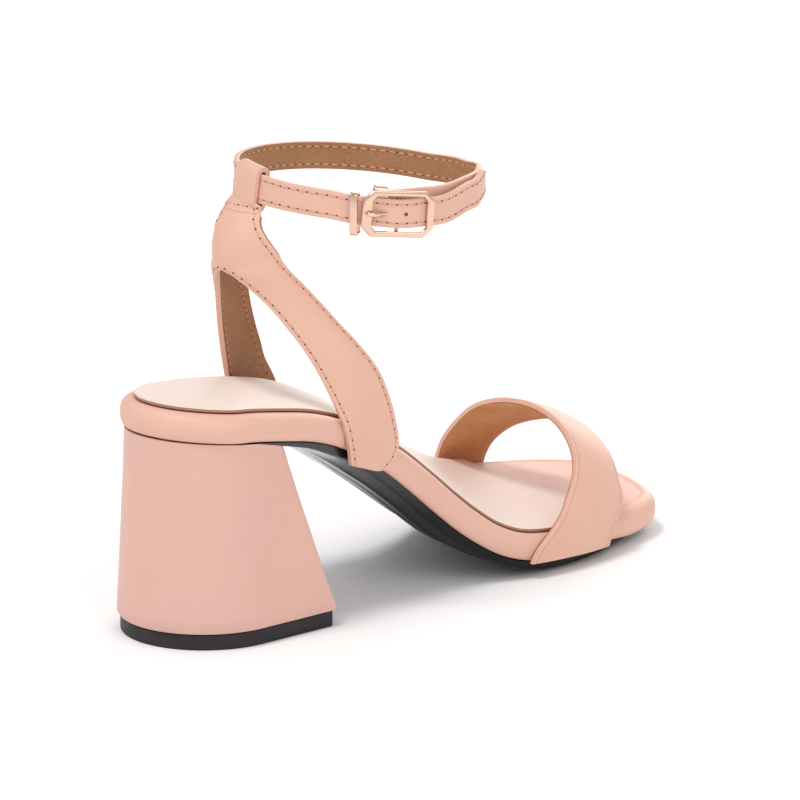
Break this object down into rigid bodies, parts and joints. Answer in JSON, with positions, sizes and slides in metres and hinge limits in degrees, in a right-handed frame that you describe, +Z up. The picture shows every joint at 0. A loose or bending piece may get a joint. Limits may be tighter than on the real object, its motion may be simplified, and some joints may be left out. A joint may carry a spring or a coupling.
{
  "type": "block heel sandal",
  "caption": "Right block heel sandal in peach leather with a padded square-toe footbed, a toe strap, a forked heel sling and a buckled ankle strap.",
  "frame": {"origin": "centre of the heel's flat floor face", "axes": "+Y along the foot to the toe, +X to the outer (lateral) side, +Z up"},
  "size_m": [0.1024, 0.2341, 0.15],
  "materials": {
    "peach_leather": "satin",
    "beige_leather": "matte",
    "black_rubber": "gloss",
    "rose_gold": "polished"
  },
  "bodies": {
    "root": {"heel_block": "peach_leather", "top_lift": "black_rubber", "outsole": "black_rubber", "footbed": "peach_leather", "insole": "beige_leather", "toe_strap": "peach_leather", "heel_sling": "peach_leather", "ankle_strap": "peach_leather", "buckle_frame": "rose_gold", "buckle_prong": "rose_gold", "strap_keeper": "rose_gold", "buckle_link": "rose_gold"}
  },
  "joints": []
}
